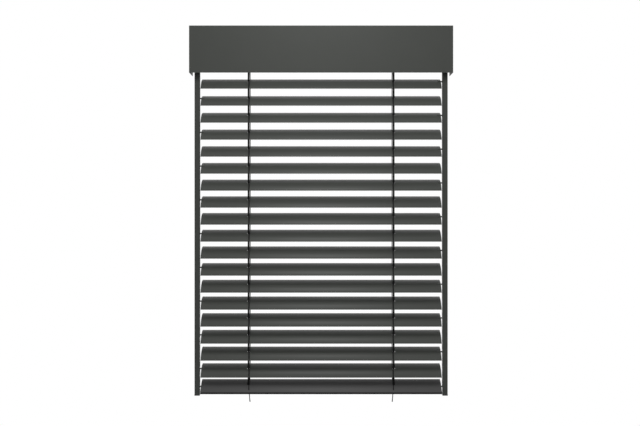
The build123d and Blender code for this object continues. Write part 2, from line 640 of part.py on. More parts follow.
# Drive shaft, a length of hexagon bar to each side of the motor
with BuildPart() as drive_shaft:
    shaft_start = MOTOR_LENGTH / 2 + MOTOR_BOSS_LENGTH - SHAFT_SEAT
    shaft_end = DRUM_X + BEARING_SPAN / 2 + BEARING_WALL + SHAFT_OVERHANG
    for side in SIDES.values():
        with BuildSketch(Plane.YZ.offset(side * shaft_start)):
            with Locations((PIN_Y, SHAFT_Z)):
                RegularPolygon(SHAFT_CORNERS / 2, 6)
        extrude(amount=side * (shaft_end - shaft_start))
save(drive_shaft.part, "drive_shaft")

# Cord bearings: a base on the headrail's floor and two cheeks that carry the drum's hubs
with BuildPart() as cord_bearings:
    bearing_width = HEADRAIL_WIDTH - 2 * (HEADRAIL_SHEET + BEARING_SIDE_CLEARANCE)
    bearing_length = BEARING_SPAN + 2 * BEARING_WALL
    cheek_top = SHAFT_Z + BEARING_CHEEK
    cheek_middle = (BEARING_SPAN + BEARING_WALL) / 2
    for side in SIDES.values():
        with BuildSketch(Plane.XY.offset(HEADRAIL_FLOOR)):
            with Locations((side * DRUM_X, PIN_Y)):
                Rectangle(bearing_length, bearing_width)
                Rectangle(BEARING_OUTLET_LENGTH, OUTLET_WIDTH, mode=Mode.SUBTRACT)
        extrude(amount=BEARING_BASE)
        with BuildSketch(Plane.XY.offset(HEADRAIL_FLOOR)):
            with Locations((side * DRUM_X - cheek_middle, PIN_Y), (side * DRUM_X + cheek_middle, PIN_Y)):
                Rectangle(BEARING_WALL, bearing_width)
        extrude(amount=cheek_top - HEADRAIL_FLOOR)
        with BuildSketch(Plane.YZ.offset(side * DRUM_X)):
            with Locations((PIN_Y, SHAFT_Z)):
                Circle(HUB_DIAMETER / 2 + HUB_CLEARANCE)
        extrude(amount=bearing_length, both=True, mode=Mode.SUBTRACT)
save(cord_bearings.part, "cord_bearings")
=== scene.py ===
"""An exterior venetian blind on white: finishes for its solids, its cords and tapes, and a plain studio."""
import logging
import math
from dataclasses import dataclass, field
from enum import Enum
from typing import Any, Callable, Iterable, Mapping, Sequence

import bpy
from mathutils import Matrix, Vector


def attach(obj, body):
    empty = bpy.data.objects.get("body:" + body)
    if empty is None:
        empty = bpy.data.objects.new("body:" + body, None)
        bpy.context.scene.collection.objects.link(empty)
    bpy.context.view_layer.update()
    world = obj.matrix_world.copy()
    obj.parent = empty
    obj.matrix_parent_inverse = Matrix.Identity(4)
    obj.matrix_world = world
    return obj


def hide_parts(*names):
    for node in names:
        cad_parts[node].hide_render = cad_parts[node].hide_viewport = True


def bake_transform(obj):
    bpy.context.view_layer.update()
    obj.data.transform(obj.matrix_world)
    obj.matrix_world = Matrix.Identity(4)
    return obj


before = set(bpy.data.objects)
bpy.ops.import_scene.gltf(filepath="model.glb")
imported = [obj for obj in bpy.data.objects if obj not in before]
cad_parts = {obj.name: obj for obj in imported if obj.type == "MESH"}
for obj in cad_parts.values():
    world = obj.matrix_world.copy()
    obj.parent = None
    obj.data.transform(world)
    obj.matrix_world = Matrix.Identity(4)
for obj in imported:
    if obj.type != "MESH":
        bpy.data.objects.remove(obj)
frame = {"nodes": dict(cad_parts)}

LOG = logging.getLogger("venetian_blind")
MM = 0.001
# A point nearer to a line than this is on it
TINY = 0.001 * MM
# A wave texture at scale 1 has about this many repeats in a unit
WAVES_PER_UNIT = 3.14


class Side(Enum):
    """The two cord lines, as seen from the front."""

    LEFT = -1
    RIGHT = 1


class Edge(Enum):
    """The two long edges of a slat."""

    FRONT = -1
    BACK = 1


def linear(code: str) -> tuple[float, float, float, float]:
    """Turns an sRGB hex colour into linear values.

    Args:
        code: The colour, such as "#404040".

    Returns:
        Red, green, blue and alpha.
    """
    parts = [int(code[i : i + 2], 16) / 255 for i in (1, 3, 5)]
    red, green, blue = (c / 12.92 if c <= 0.04045 else ((c + 0.055) / 1.055) ** 2.4 for c in parts)
    return red, green, blue, 1.0


def per_size(size_mm: float) -> float:
    """The pattern scale at which one repeat is size_mm long, on coordinates in metres."""
    return 1.0 / (size_mm * MM)


def add_node(
    tree: bpy.types.NodeTree,
    kind: str,
    settings: Mapping[str, Any] | None = None,
    inputs: Mapping[str | int, Any] | None = None,
    outputs: Mapping[str | int, bpy.types.NodeSocket] | None = None,
) -> bpy.types.Node:
    """Adds a node to a tree.

    Args:
        tree: The tree that gets the node.
        kind: The node's type name.
        settings: The node's own properties.
        inputs: What its sockets get, by name or number. A socket given here is linked.
        outputs: The sockets that its outputs are linked to, by the output's name or number.

    Returns:
        The new node.
    """
    node = tree.nodes.new(kind)
    for name, value in (settings or {}).items():
        setattr(node, name, value)
    for key, value in (inputs or {}).items():
        if isinstance(value, bpy.types.NodeSocket):
            tree.links.new(value, node.inputs[key])
        else:
            node.inputs[key].default_value = value
    for key, target in (outputs or {}).items():
        tree.links.new(node.outputs[key], target)
    return node


def start_material(
    name: str, **sockets: Any
) -> tuple[bpy.types.Material, bpy.types.Node, bpy.types.NodeSocket]:
    """Starts a material with one shader.

    Args:
        name: The material's name.
        **sockets: Values for the shader's own sockets, with _ for a space.

    Returns:
        The material, its shader and the Object coordinates.
    """
    material = bpy.data.materials.new(name)
    material.use_nodes = True
    tree = material.node_tree
    tree.nodes.clear()
    inputs = {key.replace("_", " "): value for key, value in sockets.items()}
    shader = add_node(tree, "ShaderNodeBsdfPrincipled", inputs=inputs)
    add_node(tree, "ShaderNodeOutputMaterial", inputs={"Surface": shader.outputs[0]})
    place = add_node(tree, "ShaderNodeTexCoord").outputs["Object"]
    return material, shader, place


def roughen(
    shader: bpy.types.Node,
    grain: bpy.types.NodeSocket,
    gloss: Sequence[float],
    depth: float,
    strength: float,
) -> None:
    """Lets a grain change a shader's gloss and raise its surface.

    Args:
        shader: The shader.
        grain: The grain's height, from 0 to 1.
        gloss: The roughness in the grain's hollows and on its tops.
        depth: How high the grain stands.
        strength: How much of that height shows.
    """
    tree = shader.id_data
    smooth, rough = gloss
    add_node(
        tree,
        "ShaderNodeMapRange",
        inputs={"Value": grain, "To Min": smooth, "To Max": rough},
        outputs={0: shader.inputs["Roughness"]},
    )
    add_node(
        tree,
        "ShaderNodeBump",
        inputs={"Height": grain, "Strength": strength, "Distance": depth},
        outputs={0: shader.inputs["Normal"]},
    )


@dataclass(frozen=True)
class BakedCoat:
    """Powder or coil paint baked on aluminium: satin, with a slight orange peel and a barely uneven tone."""

    name: str
    colour: str
    light: str
    roughness: float = 0.52
    specular: float = 0.15
    ior: float = 1.5
    gloss_spread: tuple[float, float] = (-0.05, 0.06)
    cloud_mm: float = 90.0
    peel_mm: float = 2.2
    peel_depth: float = 0.1 * MM
    peel_strength: float = 0.08

    def build(self) -> bpy.types.Material:
        """Makes the material.

        Returns:
            The material.
        """
        material, shader, place = start_material(self.name, IOR=self.ior, Specular_IOR_Level=self.specular)
        tree = material.node_tree
        cloud = add_node(
            tree,
            "ShaderNodeTexNoise",
            inputs={"Vector": place, "Scale": per_size(self.cloud_mm), "Detail": 4.0},
        )
        add_node(
            tree,
            "ShaderNodeMix",
            {"data_type": "RGBA"},
            {0: cloud.outputs["Fac"], 6: linear(self.colour), 7: linear(self.light)},
            {2: shader.inputs["Base Color"]},
        )
        # The grit of the powder is finer than a pixel, so the peel is drawn a little coarser than it is
        peel = add_node(
            tree,
            "ShaderNodeTexNoise",
            inputs={"Vector": place, "Scale": per_size(self.peel_mm), "Detail": 2.0},
        )
        gloss = tuple(self.roughness + spread for spread in self.gloss_spread)
        roughen(shader, peel.outputs["Fac"], gloss, self.peel_depth, self.peel_strength)
        return material


@dataclass(frozen=True)
class GalvanisedSteel:
    """Hot-dip galvanised sheet: a dull metal with the flower-like grains of the zinc."""

    name: str = "galvanised_steel"
    dark: str = "#8f9396"
    light: str = "#b4b8ba"
    grain_mm: float = 9.0
    gloss: tuple[float, float] = (0.34, 0.52)

    def build(self) -> bpy.types.Material:
        """Makes the material.

        Returns:
            The material.
        """
        material, shader, place = start_material(self.name, Metallic=1.0)
        tree = material.node_tree
        grain = add_node(
            tree,
            "ShaderNodeTexVoronoi",
            {"feature": "F1"},
            {"Vector": place, "Scale": per_size(self.grain_mm), "Randomness": 1.0},
        )
        level = add_node(tree, "ShaderNodeSeparateColor", inputs={0: grain.outputs["Color"]})
        add_node(
            tree,
            "ShaderNodeMix",
            {"data_type": "RGBA"},
            {0: level.outputs[0], 6: linear(self.dark), 7: linear(self.light)},
            {2: shader.inputs["Base Color"]},
        )
        smooth, rough = self.gloss
        add_node(
            tree,
            "ShaderNodeMapRange",
            inputs={"Value": level.outputs[1], "To Min": smooth, "To Max": rough},
            outputs={0: shader.inputs["Roughness"]},
        )
        return material


@dataclass(frozen=True)
class DieCast:
    """Die-cast aluminium, blasted: a plain grey metal with a fine sandy grain."""

    name: str = "die_cast_aluminium"
    colour: str = "#85878a"
    gloss: tuple[float, float] = (0.42, 0.62)
    grain_mm: float = 1.6
    grain_depth: float = 0.1 * MM
    grain_strength: float = 0.25

    def build(self) -> bpy.types.Material:
        """Makes the material.

        Returns:
            The material.
        """
        material, shader, place = start_material(self.name, Metallic=1.0, Base_Color=linear(self.colour))
        tree = material.node_tree
        grain = add_node(
            tree,
            "ShaderNodeTexNoise",
            inputs={"Vector": place, "Scale": per_size(self.grain_mm), "Detail": 6.0},
        )
        roughen(shader, grain.outputs["Fac"], self.gloss, self.grain_depth, self.grain_strength)
        return material


@dataclass(frozen=True)
class MouldedPlastic:
    """Moulded plastic or elastomer with a fine eroded grain: dull, and a little lighter on the grain's tops.
    """

    name: str
    colour: str
    light: str
    roughness: float = 0.5
    specular: float = 0.5
    ior: float = 1.53
    gloss_spread: tuple[float, float] = (-0.06, 0.08)
    grain_mm: float = 0.9
    grain_depth: float = 0.08 * MM
    grain_strength: float = 0.2

    def build(self) -> bpy.types.Material:
        """Makes the material.

        Returns:
            The material.
        """
        material, shader, place = start_material(self.name, IOR=self.ior, Specular_IOR_Level=self.specular)
        tree = material.node_tree
        grain = add_node(
            tree,
            "ShaderNodeTexNoise",
            inputs={"Vector": place, "Scale": per_size(self.grain_mm), "Detail": 3.0},
        )
        add_node(
            tree,
            "ShaderNodeMix",
            {"data_type": "RGBA"},
            {0: grain.outputs["Fac"], 6: linear(self.colour), 7: linear(self.light)},
            {2: shader.inputs["Base Color"]},
        )
        gloss = tuple(self.roughness + spread for spread in self.gloss_spread)
        roughen(shader, grain.outputs["Fac"], gloss, self.grain_depth, self.grain_strength)
        return material


@dataclass(frozen=True)
class WovenPolyester:
    """Black polyester yarn, braided or woven: deep black, with dull ribs that cross the run of the cord."""

    name: str
    colour: str
    light: str
    rib_mm: float
    lean: float
    stray: float = 0.4
    roughness: float = 0.85
    specular: float = 0.15
    ior: float = 1.5
    rib_depth: float = 0.15 * MM
    rib_strength: float = 0.5

    def build(self) -> bpy.types.Material:
        """Makes the material.

        Returns:
            The material.
        """
        material, shader, place = start_material(
            self.name, Roughness=self.roughness, IOR=self.ior, Specular_IOR_Level=self.specular
        )
        tree = material.node_tree
        # Two waves, one leaning to each side, cross as the strands of a braid do
        ribs = []
        for lean in (self.lean, -self.lean):
            turned = add_node(
                tree, "ShaderNodeMapping", inputs={"Vector": place, "Rotation": (0.0, lean, 0.0)}
            )
            wave = add_node(
                tree,
                "ShaderNodeTexWave",
                {"wave_type": "BANDS", "bands_direction": "Z"},
                {
                    "Vector": turned.outputs[0],
                    "Scale": per_size(self.rib_mm) / WAVES_PER_UNIT,
                    "Distortion": self.stray,
                },
            )
            ribs.append(wave.outputs["Fac"])
        crossing = add_node(tree, "ShaderNodeMath", {"operation": "MULTIPLY"}, dict(enumerate(ribs)))
        add_node(
            tree,
            "ShaderNodeMix",
            {"data_type": "RGBA"},
            {0: crossing.outputs[0], 6: linear(self.colour), 7: linear(self.light)},
            {2: shader.inputs["Base Color"]},
        )
        add_node(
            tree,
            "ShaderNodeBump",
            inputs={
                "Height": crossing.outputs[0],
                "Strength": self.rib_strength,
                "Distance": self.rib_depth,
            },
            outputs={0: shader.inputs["Normal"]},
        )
        return material


class Palette:
    """The blind's finishes, each made once."""

    def __init__(self) -> None:
        """Makes all the materials."""
        self.coat = BakedCoat("powder_coated_aluminium", "#424441", "#454744").build()
        self.cover_coat = BakedCoat("powder_coated_cover_panel", "#464845", "#494b48").build()
        # The coil paint and the bottom rail's powder are smoother, so the slats' crowns catch the light
        self.slat_coat = BakedCoat("coil_coated_slat", "#474946", "#4a4c49", 0.36, 0.16).build()
        self.rail_coat = BakedCoat("powder_coated_bottom_rail", "#474747", "#4a4a4a", 0.38, 0.16).build()
        self.steel = GalvanisedSteel().build()
        self.cast = DieCast().build()
        self.plastic = MouldedPlastic("black_polyamide", "#141414", "#1b1b1b").build()
        self.pin = MouldedPlastic("dark_grey_acetal", "#242523", "#2c2d2b", roughness=0.38).build()
        self.lining = MouldedPlastic("black_rail_lining", "#101010", "#161616", roughness=0.6).build()
        # Painted shade: a black strip on the bottom rail's front side, whose black stands in for the shade on
        # that down-facing face
        self.painted_shade_rubber = MouldedPlastic(
            "painted_shade_black_rubber", "#0a0a0a", "#101010", roughness=0.8, specular=0.1
        ).build()
        self.cord = WovenPolyester(
            "braided_polyester_cord", "#080808", "#181818", rib_mm=1.6, lean=0.7
        ).build()
        self.tape = WovenPolyester(
            "woven_polyester_tape", "#060606", "#121212", rib_mm=1.4, lean=0.0
        ).build()


@dataclass(frozen=True)
class Layout:
    """Where the source puts the slats, cords and rails, in metres in the row frame."""

    slat_count: int = 18
    pitch: float = 72.0 * MM
    first_z: float = -191.0 * MM
    rail_z: float = -1491.0 * MM
    shaft_z: float = 9.0 * MM
    # The stretch of a cord or tape below the shaft that stays with the drums
    lead_held: float = 30.0 * MM
    pin_y: float = -44.5655 * MM
    half_chord: float = 40.0 * MM
    rise: float = 11.3 * MM
    tilt: float = math.radians(36.4)
    slat_end: float = 510.75 * MM
    rail_inner: float = 516.75 * MM
    rail_outer: float = 538.5 * MM
    rail_depth: float = 22.0 * MM
    rail_foot: float = -1528.0 * MM
    ladder_x: float = 305.9 * MM
    rung_x: float = 304.3 * MM
    tape_x: float = 309.4 * MM
    tail_x: float = 306.5 * MM
    rail_width: float = 76.0 * MM
    rail_side: float = 11.0 * MM
    rail_crown: float = 12.0 * MM
    rail_below_pin: float = 6.7 * MM

    @staticmethod
    def number(index: int) -> str:
        """A slat's number as the source writes it, counted from 1 at the top."""
        return f"{index:02d}"

    def slat_z(self, index: int) -> float:
        """The height of a slat's pin."""
        return self.first_z - (index - 1) * self.pitch

    def tilted(self, chord: float, rise: float) -> tuple[float, float]:
        """How far a point of a tilted section stands behind and above its pin.

        Args:
            chord: The point's place along the chord, to the back.
            rise: Its place above the crown.

        Returns:
            The distances along Y and Z.
        """
        c, s = math.cos(self.tilt), math.sin(self.tilt)
        return chord * c - rise * s, chord * s + rise * c

    def edge(self, edge: Edge) -> tuple[float, float]:
        """How far an edge of a slat stands behind and above its pin."""
        return self.tilted(edge.value * self.half_chord, -self.rise)

    def rail_top(self, y: float) -> float:
        """The height of the bottom rail's crowned top above its pin.

        Args:
            y: How far behind the pin the height is wanted.

        Returns:
            The height.
        """
        half = self.rail_width / 2
        sag = self.rail_crown - (self.rail_side - self.rail_below_pin)
        radius = (half**2 + sag**2) / (2 * sag)
        middle_y, middle_z = self.tilted(0.0, self.rail_crown - radius)
        return middle_z + math.sqrt(radius**2 - (y - middle_y) ** 2)


class Bench:
    """Modelling steps that the pieces share."""

    @staticmethod
    def clear() -> None:
        """Leaves edit mode and deselects everything."""
        if bpy.context.object is not None and bpy.context.object.mode != "OBJECT":
            bpy.ops.object.mode_set(mode="OBJECT")
        bpy.ops.object.select_all(action="DESELECT")

    @staticmethod
    def pick(obj: bpy.types.Object) -> None:
        """Makes one object the only one selected.

        Args:
            obj: The object.
        """
        Bench.clear()
        obj.select_set(True)
        bpy.context.view_layer.objects.active = obj

    @staticmethod
    def edit(obj: bpy.types.Object, parts: Iterable[Any], chosen: Callable[[Any], bool]) -> None:
        """Opens an object in edit mode with some parts of its mesh selected.

        Args:
            obj: The object.
            parts: The mesh's vertices or faces.
            chosen: Says of a part whether it is selected.
        """
        Bench.pick(obj)
        bpy.ops.object.mode_set(mode="EDIT")
        bpy.ops.mesh.select_all(action="DESELECT")
        bpy.ops.object.mode_set(mode="OBJECT")
        for part in parts:
            part.select = chosen(part)
        bpy.ops.object.mode_set(mode="EDIT")

    @staticmethod
    def settle(obj: bpy.types.Object) -> None:
        """Moves an object's place, turn and scale into its mesh."""
        Bench.pick(obj)
        bpy.ops.object.transform_apply(location=True, rotation=True, scale=True)

    @staticmethod
    def modify(obj: bpy.types.Object, kind: str, **settings: Any) -> None:
        """Adds a modifier and applies it.

        Args:
            obj: The object that gets it.
            kind: The modifier's type.
            **settings: The modifier's properties.
        """
        Bench.pick(obj)
        modifier = obj.modifiers.new(kind.lower(), kind)
        for name, value in settings.items():
            setattr(modifier, name, value)
        bpy.ops.object.modifier_apply(modifier=modifier.name)

    @staticmethod
    def join(parts: Sequence[bpy.types.Object], name: str) -> bpy.types.Object:
        """Joins objects into one.

        Args:
            parts: The objects. The first one stays.
            name: The joined object's name.

        Returns:
            The joined object.
        """
        Bench.pick(parts[0])
        for part in parts:
            part.select_set(True)
        bpy.ops.object.join()
        parts[0].name = name
        parts[0].data.name = name
        return parts[0]

    @staticmethod
    def copy(obj: bpy.types.Object, name: str, shift: Vector) -> bpy.types.Object:
        """Copies an object with its own mesh, moved by a distance.

        Args:
            obj: The object.
            name: The copy's name.
            shift: How far the copy's mesh is moved.

        Returns:
            The copy.
        """
        twin = obj.copy()
        twin.data = obj.data.copy()
        twin.name = name
        twin.data.name = name
        twin.data.transform(Matrix.Translation(shift))
        bpy.context.scene.collection.objects.link(twin)
        return twin

    @staticmethod
    def finish(obj: bpy.types.Object, material: bpy.types.Material, angle: float = 40.0) -> None:
        """Gives an object its material, turns its faces outwards and smooths it.

        Args:
            obj: The object.
            material: Its material.
            angle: The largest angle between faces that is smoothed, in degrees.
        """
        Bench.pick(obj)
        bpy.ops.object.mode_set(mode="EDIT")
        bpy.ops.mesh.select_all(action="SELECT")
        bpy.ops.mesh.normals_make_consistent(inside=False)
        bpy.ops.object.mode_set(mode="OBJECT")
        bpy.ops.object.shade_smooth_by_angle(angle=math.radians(angle))
        if not obj.data.materials:
            obj.data.materials.append(material)

    @staticmethod
    def draw(
        route: Sequence[Vector], sizes: Sequence[tuple[float, float]], corners: int, name: str
    ) -> bpy.types.Object:
        """Extrudes a flat ring from point to point.

        Args:
            route: The points, in the row frame.
            sizes: The ring's half width and half depth at each point, or one pair for all.
            corners: How many corners the ring has.
            name: The object's name.

        Returns:
            The closed mesh.
        """
        Bench.clear()
        sizes = list(sizes) * len(route) if len(sizes) == 1 else list(sizes)
        turn = (route[1] - route[0]).to_track_quat("-Z", "Y").to_euler()
        bpy.ops.mesh.primitive_circle_add(
            vertices=corners, radius=1.0, fill_type="NGON", location=route[0], rotation=turn
        )
        obj = bpy.context.object
        obj.name = name
        obj.scale = (sizes[0][0], sizes[0][1], 1.0)
        Bench.settle(obj)
        bpy.ops.object.mode_set(mode="EDIT")
        bpy.ops.mesh.select_all(action="SELECT")
        for before, here, old, new in zip(route, route[1:], sizes, sizes[1:]):
            bpy.ops.mesh.extrude_region_move(TRANSFORM_OT_translate={"value": here - before})
            if old != new:
                bpy.ops.transform.resize(
                    value=(new[0] / old[0], new[1] / old[1], 1.0), center_override=here
                )
        bpy.ops.object.mode_set(mode="OBJECT")
        return obj


def both_sides(x: float) -> list[float]:
    """The two places, left and right, at a distance from the middle."""
    return [side.value * x for side in Side]


@dataclass
class LadderCords:
    """The ladder cords: a leg along each edge of the slats, and a rung under and over every slat."""

    layout: Layout
    palette: Palette
    radius: float = 1.5 * MM
    # The back legs are under a pixel wide, and are drawn as thick and as near the tape as they need to show
    back_radius: float = 1.9 * MM
    back_out: float = 0.2 * MM
    # How far a leg is pressed into the slat's edge
    bite: float = 0.05 * MM
    corners: int = 8
    steps: int = 9
    rung_radius: float = 0.7 * MM
    rung_past_edge: float = 0.6 * MM
    rung_below_edge: float = 0.6 * MM
    rung_over_crown: float = 1.5 * MM
    rung_bend_share: float = 0.35
    bow: float = 1.2 * MM
    wide_bow: float = 3.0 * MM
    wide_slats: tuple[int, ...] = (1, 5, 14)
    bow_reach: float = 18.0 * MM
    leg_cuts: tuple[float, ...] = (0.0, 8.0 * MM, 24.0 * MM, 48.0 * MM)
    leg_steps: int = 4
    overlap: float = 6.0 * MM
    slack: float = 1.2 * MM
    tie: float = 20.0 * MM
    first_tie_share: float = 1.5
    upper_foot: float = 14.0 * MM
    lower_foot: float = 10.0 * MM
    foot_sunk: float = 0.2 * MM
    lead_y: float = 19.3 * MM
    pieces: list[bpy.types.Object] = field(default_factory=list)

    def leg_radius(self, edge: Edge) -> float:
        """The radius of the legs along an edge."""
        return self.back_radius if edge is Edge.BACK else self.radius

    def leg_x(self, edge: Edge) -> float:
        """How far the legs along an edge stand from the middle."""
        return self.layout.ladder_x + (self.back_out if edge is Edge.BACK else 0.0)

    def leg_y(self, edge: Edge) -> float:
        """How far a leg stands behind the pins."""
        return self.layout.edge(edge)[0] + edge.value * (self.leg_radius(edge) - self.bite)

    def straight(
        self,
        edge: Edge,
        top: tuple[float, float],
        low: tuple[float, float],
        bow: float = 0.0,
        drop: float = 0.0,
        steps: int | None = None,
    ) -> list[list[Vector]]:
        """The routes of a straight stretch, at the left and at the right cord line.

        Args:
            edge: The slats' edge that the stretch runs along.
            top: Y behind the pins and Z of its top.
            low: Y behind the pins and Z of its foot.
            bow: How far the cord stands out sideways at the slat's edge.
            drop: How far the stretch's top is below that edge.
            steps: How many steps the stretch has.

        Returns:
            The two routes, from the top down.
        """
        routes = []
        steps = steps or self.steps
        for side in Side:
            route = []
            for step in range(steps + 1):
                share = step / steps
                below = drop + (top[1] - low[1]) * share
                out = bow * max(0.0, 1.0 - below / self.bow_reach) ** 2
                x = side.value * (self.leg_x(edge) + out)
                y = self.layout.pin_y + top[0] + (low[0] - top[0]) * share
                z = top[1] + (low[1] - top[1]) * share
                route.append(Vector((x, y, z)))
            routes.append(route)
        return routes

    def strand(self, routes: Sequence[Sequence[Vector]], radius: float, name: str) -> bpy.types.Object:
        """Draws round strands and joins them into one piece.

        Args:
            routes: The points of each strand.
            radius: The strands' radius.
            name: The piece's name.

        Returns:
            The piece.
        """
        parts = [Bench.draw(route, [(radius, radius)], self.corners, name) for route in routes]
        piece = Bench.join(parts, name)
        Bench.finish(piece, self.palette.cord)
        self.pieces.append(piece)
        return piece

    def blend_down(self, piece: bpy.types.Object) -> None:
        """Moves a piece's place, turn and scale into its mesh."""
        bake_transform(piece)

    def build_rungs(self) -> None:
        """Makes the two rungs that hold each slat, the lower one straight and the upper one along its top."""
        lay = self.layout
        inner = lay.half_chord + self.rung_past_edge
        routes = []
        for side in Side:
            lower, upper = [], []
            for step in range(self.steps + 1):
                chord = -inner + 2 * inner * step / self.steps
                fall = lay.rise * (chord / lay.half_chord) ** 2
                x = lay.rung_x + self.rung_bend_share * (lay.ladder_x - lay.rung_x) * (chord / inner) ** 4
                under, over = -lay.rise - self.rung_below_edge, -fall + self.rung_over_crown
                for rise, route in ((under, lower), (over, upper)):
                    y, z = lay.tilted(chord, rise)
                    route.append(Vector((side.value * x, lay.pin_y + y, lay.first_z + z)))
            routes += [lower, upper]
        first = self.strand(routes, self.rung_radius, "ladder_rungs_01")
        for index in range(2, lay.slat_count + 1):
            name = f"ladder_rungs_{lay.number(index)}"
            twin = Bench.copy(first, name, Vector((0.0, 0.0, -(index - 1) * lay.pitch)))
            self.pieces.append(twin)
            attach(twin, f"slat_{lay.number(index)}")
        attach(first, "slat_01")

    def upright_turn(self, drop: float) -> float:
        """The share of a slat's turn that leaves a point of its front leg upright under the slat's edge.

        Args:
            drop: How far the point is below the edge.

        Returns:
            The share, worked out for the turn that opens the slats flat.
        """
        tilt = self.layout.tilt
        y, z = self.leg_y(Edge.FRONT), self.layout.edge(Edge.FRONT)[1]
        flat_y = y * math.cos(tilt) + z * math.sin(tilt) - self.slack
        reach = max(math.hypot(y, z - drop), -flat_y)
        return min(1.0, (math.acos(flat_y / reach) + math.atan2(z - drop, y)) / tilt)

    @staticmethod
    def step_at(weight: float) -> float:
        """Where a smooth step from 0 to 1 reaches a weight, as a share of the step's length."""
        return 0.5 - math.sin(math.asin(1.0 - 2.0 * weight) / 3.0)

    def build_front_legs(self) -> None:
        """Makes the front leg below each slat, in stretches."""
        lay = self.layout
        y, edge_z = self.leg_y(Edge.FRONT), lay.edge(Edge.FRONT)[1]
        cuts = [*self.leg_cuts, lay.pitch + self.overlap]
        for index in range(1, lay.slat_count):
            bow = self.wide_bow if index in self.wide_slats else self.bow
            edge = lay.slat_z(index) + edge_z
            number = lay.number(index)
            for part, (high, low) in enumerate(zip(cuts, cuts[1:]), start=1):
                top, foot = (y, edge - high), (y, edge - low)
                routes = self.straight(Edge.FRONT, top, foot, bow, high, self.leg_steps)
                leg = self.strand(routes, self.radius, f"ladder_front_leg_{number}_{part}")
                first, last = (self.step_at(1.0 - self.upright_turn(drop)) for drop in (high, low))
                self.blend_down(leg)

    def build_back_legs(self) -> None:
        """Makes the back leg below each slat and the tie from it up to the slat's edge."""
        lay = self.layout
        y, edge_z = self.leg_y(Edge.BACK), lay.edge(Edge.BACK)[1]
        for index in range(1, lay.slat_count + 1):
            number = lay.number(index)
            top = lay.slat_z(index) + edge_z
            if index < lay.slat_count:
                routes = self.straight(Edge.BACK, (y, top), (y, top - lay.pitch + self.tie))
                leg = self.strand(routes, self.back_radius, f"ladder_back_leg_{number}")
                self.blend_down(leg)
            if index > 1:
                routes = self.straight(Edge.BACK, (y, top + self.tie), (y, top))
                tie = self.strand(routes, self.back_radius, f"ladder_back_tie_{number}")
                self.blend_down(tie)

    def build_top(self) -> None:
        """Makes the stretches from the drums down to the first slat."""
        lay = self.layout
        for edge in Edge:
            word = edge.name.lower()
            top = lay.first_z + lay.edge(edge)[1]
            low = (self.leg_y(edge), top)
            high = (edge.value * self.lead_y, lay.shaft_z)
            share = self.tie * self.first_tie_share / (high[1] - low[1])
            middle = (low[0] + (high[0] - low[0]) * share, low[1] + (high[1] - low[1]) * share)
            radius = self.leg_radius(edge)
            lead = self.strand(self.straight(edge, high, middle), radius, f"ladder_{word}_lead")
            self.blend_down(lead)
            tie = self.strand(self.straight(edge, middle, low), radius, f"ladder_{word}_tie_01")
            self.blend_down(tie)

    def build_bottom(self) -> None:
        """Makes the stretches from the last slat down to the bottom rail."""
        lay = self.layout
        last = lay.number(lay.slat_count)
        back_foot_y = lay.tilted(lay.rail_width / 2 - lay.rail_side, 0.0)[0]
        feet = {Edge.FRONT: self.leg_y(Edge.FRONT), Edge.BACK: back_foot_y}
        for edge in Edge:
            word = edge.name.lower()
            high = (self.leg_y(edge), lay.slat_z(lay.slat_count) + lay.edge(edge)[1])
            low = (feet[edge], lay.rail_z + lay.rail_top(feet[edge]) - self.foot_sunk)
            slope = (high[0] - low[0]) / (high[1] - low[1])
            upper = (high[0] - slope * self.upper_foot, high[1] - self.upper_foot)
            lower = (low[0] + slope * self.lower_foot, low[1] + self.lower_foot)
            for name, top, end, bodies in (
                ("upper", high, upper, (f"slat_{last}", f"pin_{last}")),
                ("middle", upper, lower, (f"pin_{last}", "rail_pins")),
                ("lower", lower, low, ("rail_pins", "bottom_rail")),
            ):
                routes = self.straight(edge, top, end)
                piece = self.strand(routes, self.leg_radius(edge), f"ladder_{word}_foot_{name}")
                self.blend_down(piece)

    def build(self) -> list[bpy.types.Object]:
        """Makes all the ladder cords' pieces.

        Returns:
            The pieces, which stand for the source's two ladder cords.
        """
        self.build_rungs()
        self.build_front_legs()
        self.build_back_legs()
        self.build_top()
        self.build_bottom()
        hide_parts("ladder_cord_left", "ladder_cord_right")
        return self.pieces


